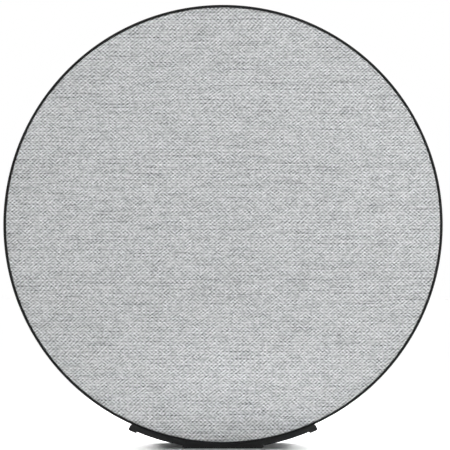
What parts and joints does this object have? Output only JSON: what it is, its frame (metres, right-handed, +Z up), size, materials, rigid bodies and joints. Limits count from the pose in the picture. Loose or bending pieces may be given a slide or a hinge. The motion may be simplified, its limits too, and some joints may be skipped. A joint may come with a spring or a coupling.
{
  "type": "smart home hub",
  "caption": "Round cloth-fronted home hub that stands upright in a low curved cradle, with controls, vents and sockets on its back.",
  "frame": {"origin": "on the table surface, under the middle of the hub, midway along the depth of its stand", "axes": "+Z up, -Y out of the cloth front, +X to the right as seen from the front"},
  "size_m": [0.15, 0.042, 0.1514],
  "materials": {
    "cloth": "light grey melange weave, stretched",
    "shell_plastic": "fine moulded texture, satin black",
    "inner_plastic": "plain moulded, dark grey",
    "control_plastic": "smooth satin black",
    "stand_metal": "black powder coat",
    "sole_rubber": "matte black",
    "foam": "open-cell foam, black",
    "basket_steel": "grey pressed steel",
    "plated_steel": "zinc plated",
    "ferrite": "sintered, dark grey",
    "cone_paper": "pressed paper, black",
    "surround_rubber": "butyl rubber",
    "spider_cloth": "varnished cloth",
    "coil_copper": "enamelled copper",
    "board_green": "solder-masked circuit board",
    "chip_black": "moulded black",
    "shield_tin": "tinned steel",
    "heat_aluminium": "extruded",
    "thermal_silicone": "soft silicone pad",
    "light_acrylic": "clear moulded",
    "screw_steel": "black zinc",
    "lead_jacket": "insulated wire",
    "ribbon_film": "polyester film"
  },
  "bodies": {
    "hub": {"front_fabric": "cloth", "rear_housing": "shell_plastic", "fabric_frame": "inner_plastic", "baffle": "inner_plastic", "stand_cradle": "stand_metal", "stand_sole": "sole_rubber", "driver_gasket": "foam", "driver_basket": "basket_steel", "top_plate": "plated_steel", "driver_yoke": "plated_steel", "driver_magnet": "ferrite", "driver_surround": "surround_rubber", "driver_spider": "spider_cloth", "antenna_left": "coil_copper", "antenna_right": "coil_copper", "antenna_mesh": "coil_copper", "mic_led_board": "board_green", "main_board": "board_green", "control_board": "board_green", "status_led": "chip_black", "ethernet_jack": "chip_black", "pair_switch": "chip_black", "reset_switch": "chip_black", "volume_up_switch": "chip_black", "volume_down_switch": "chip_black", "mute_switch": "chip_black", "microphone_left": "shield_tin", "microphone_right": "shield_tin", "processor_shield": "shield_tin", "radio_shield": "shield_tin", "usb_c_socket": "shield_tin", "heat_spreader": "heat_aluminium", "thermal_pad": "thermal_silicone", "light_guide": "light_acrylic", "baffle_screw_1": "screw_steel", "baffle_screw_2": "screw_steel", "baffle_screw_3": "screw_steel", "baffle_screw_4": "screw_steel", "baffle_screw_5": "screw_steel", "baffle_screw_6": "screw_steel", "driver_screw_1": "screw_steel", "driver_screw_2": "screw_steel", "driver_screw_3": "screw_steel", "driver_screw_4": "screw_steel", "main_board_screw_1": "screw_steel", "main_board_screw_2": "screw_steel", "main_board_screw_3": "screw_steel", "control_board_screw_1": "screw_steel", "control_board_screw_2": "screw_steel", "stand_screw_1": "screw_steel", "stand_screw_2": "screw_steel", "speaker_lead": "lead_jacket", "ribbon_cable": "ribbon_film"},
    "cone": {"driver_cone": "cone_paper", "dust_cap": "cone_paper", "voice_coil": "coil_copper"},
    "pair_key": {"pair_button": "control_plastic"},
    "reset_key": {"reset_button": "control_plastic"},
    "volume_key": {"volume_rocker": "control_plastic"},
    "mute_key": {"mute_slider": "control_plastic"}
  },
  "joints": [
    {"name": "cone_travel", "type": "slide", "parent": "hub", "child": "cone", "axis": [0, -1, 0], "range_m": [-0.0015, 0.0015], "stiffness_N_per_m": 1500, "deforming": ["driver_surround", "driver_spider"]},
    {"name": "pair_press", "type": "slide", "parent": "hub", "child": "pair_key", "axis": [0, -1, 0], "range_m": [0, 0.0008], "stiffness_N_per_m": 300, "springref_m": -0.001},
    {"name": "reset_press", "type": "slide", "parent": "hub", "child": "reset_key", "axis": [0, -1, 0], "range_m": [0, 0.0005], "stiffness_N_per_m": 300, "springref_m": -0.001},
    {"name": "volume_tilt", "type": "hinge", "parent": "hub", "child": "volume_key", "pos_m": [0.024, 0.0164, 0.0844], "axis": [0, 0, 1], "range_deg": [-3, 3], "stiffness_Nm_per_rad": 0.16},
    {"name": "mute_slide", "type": "slide", "parent": "hub", "child": "mute_key", "axis": [1, 0, 0], "range_m": [0, 0.003]}
  ]
}
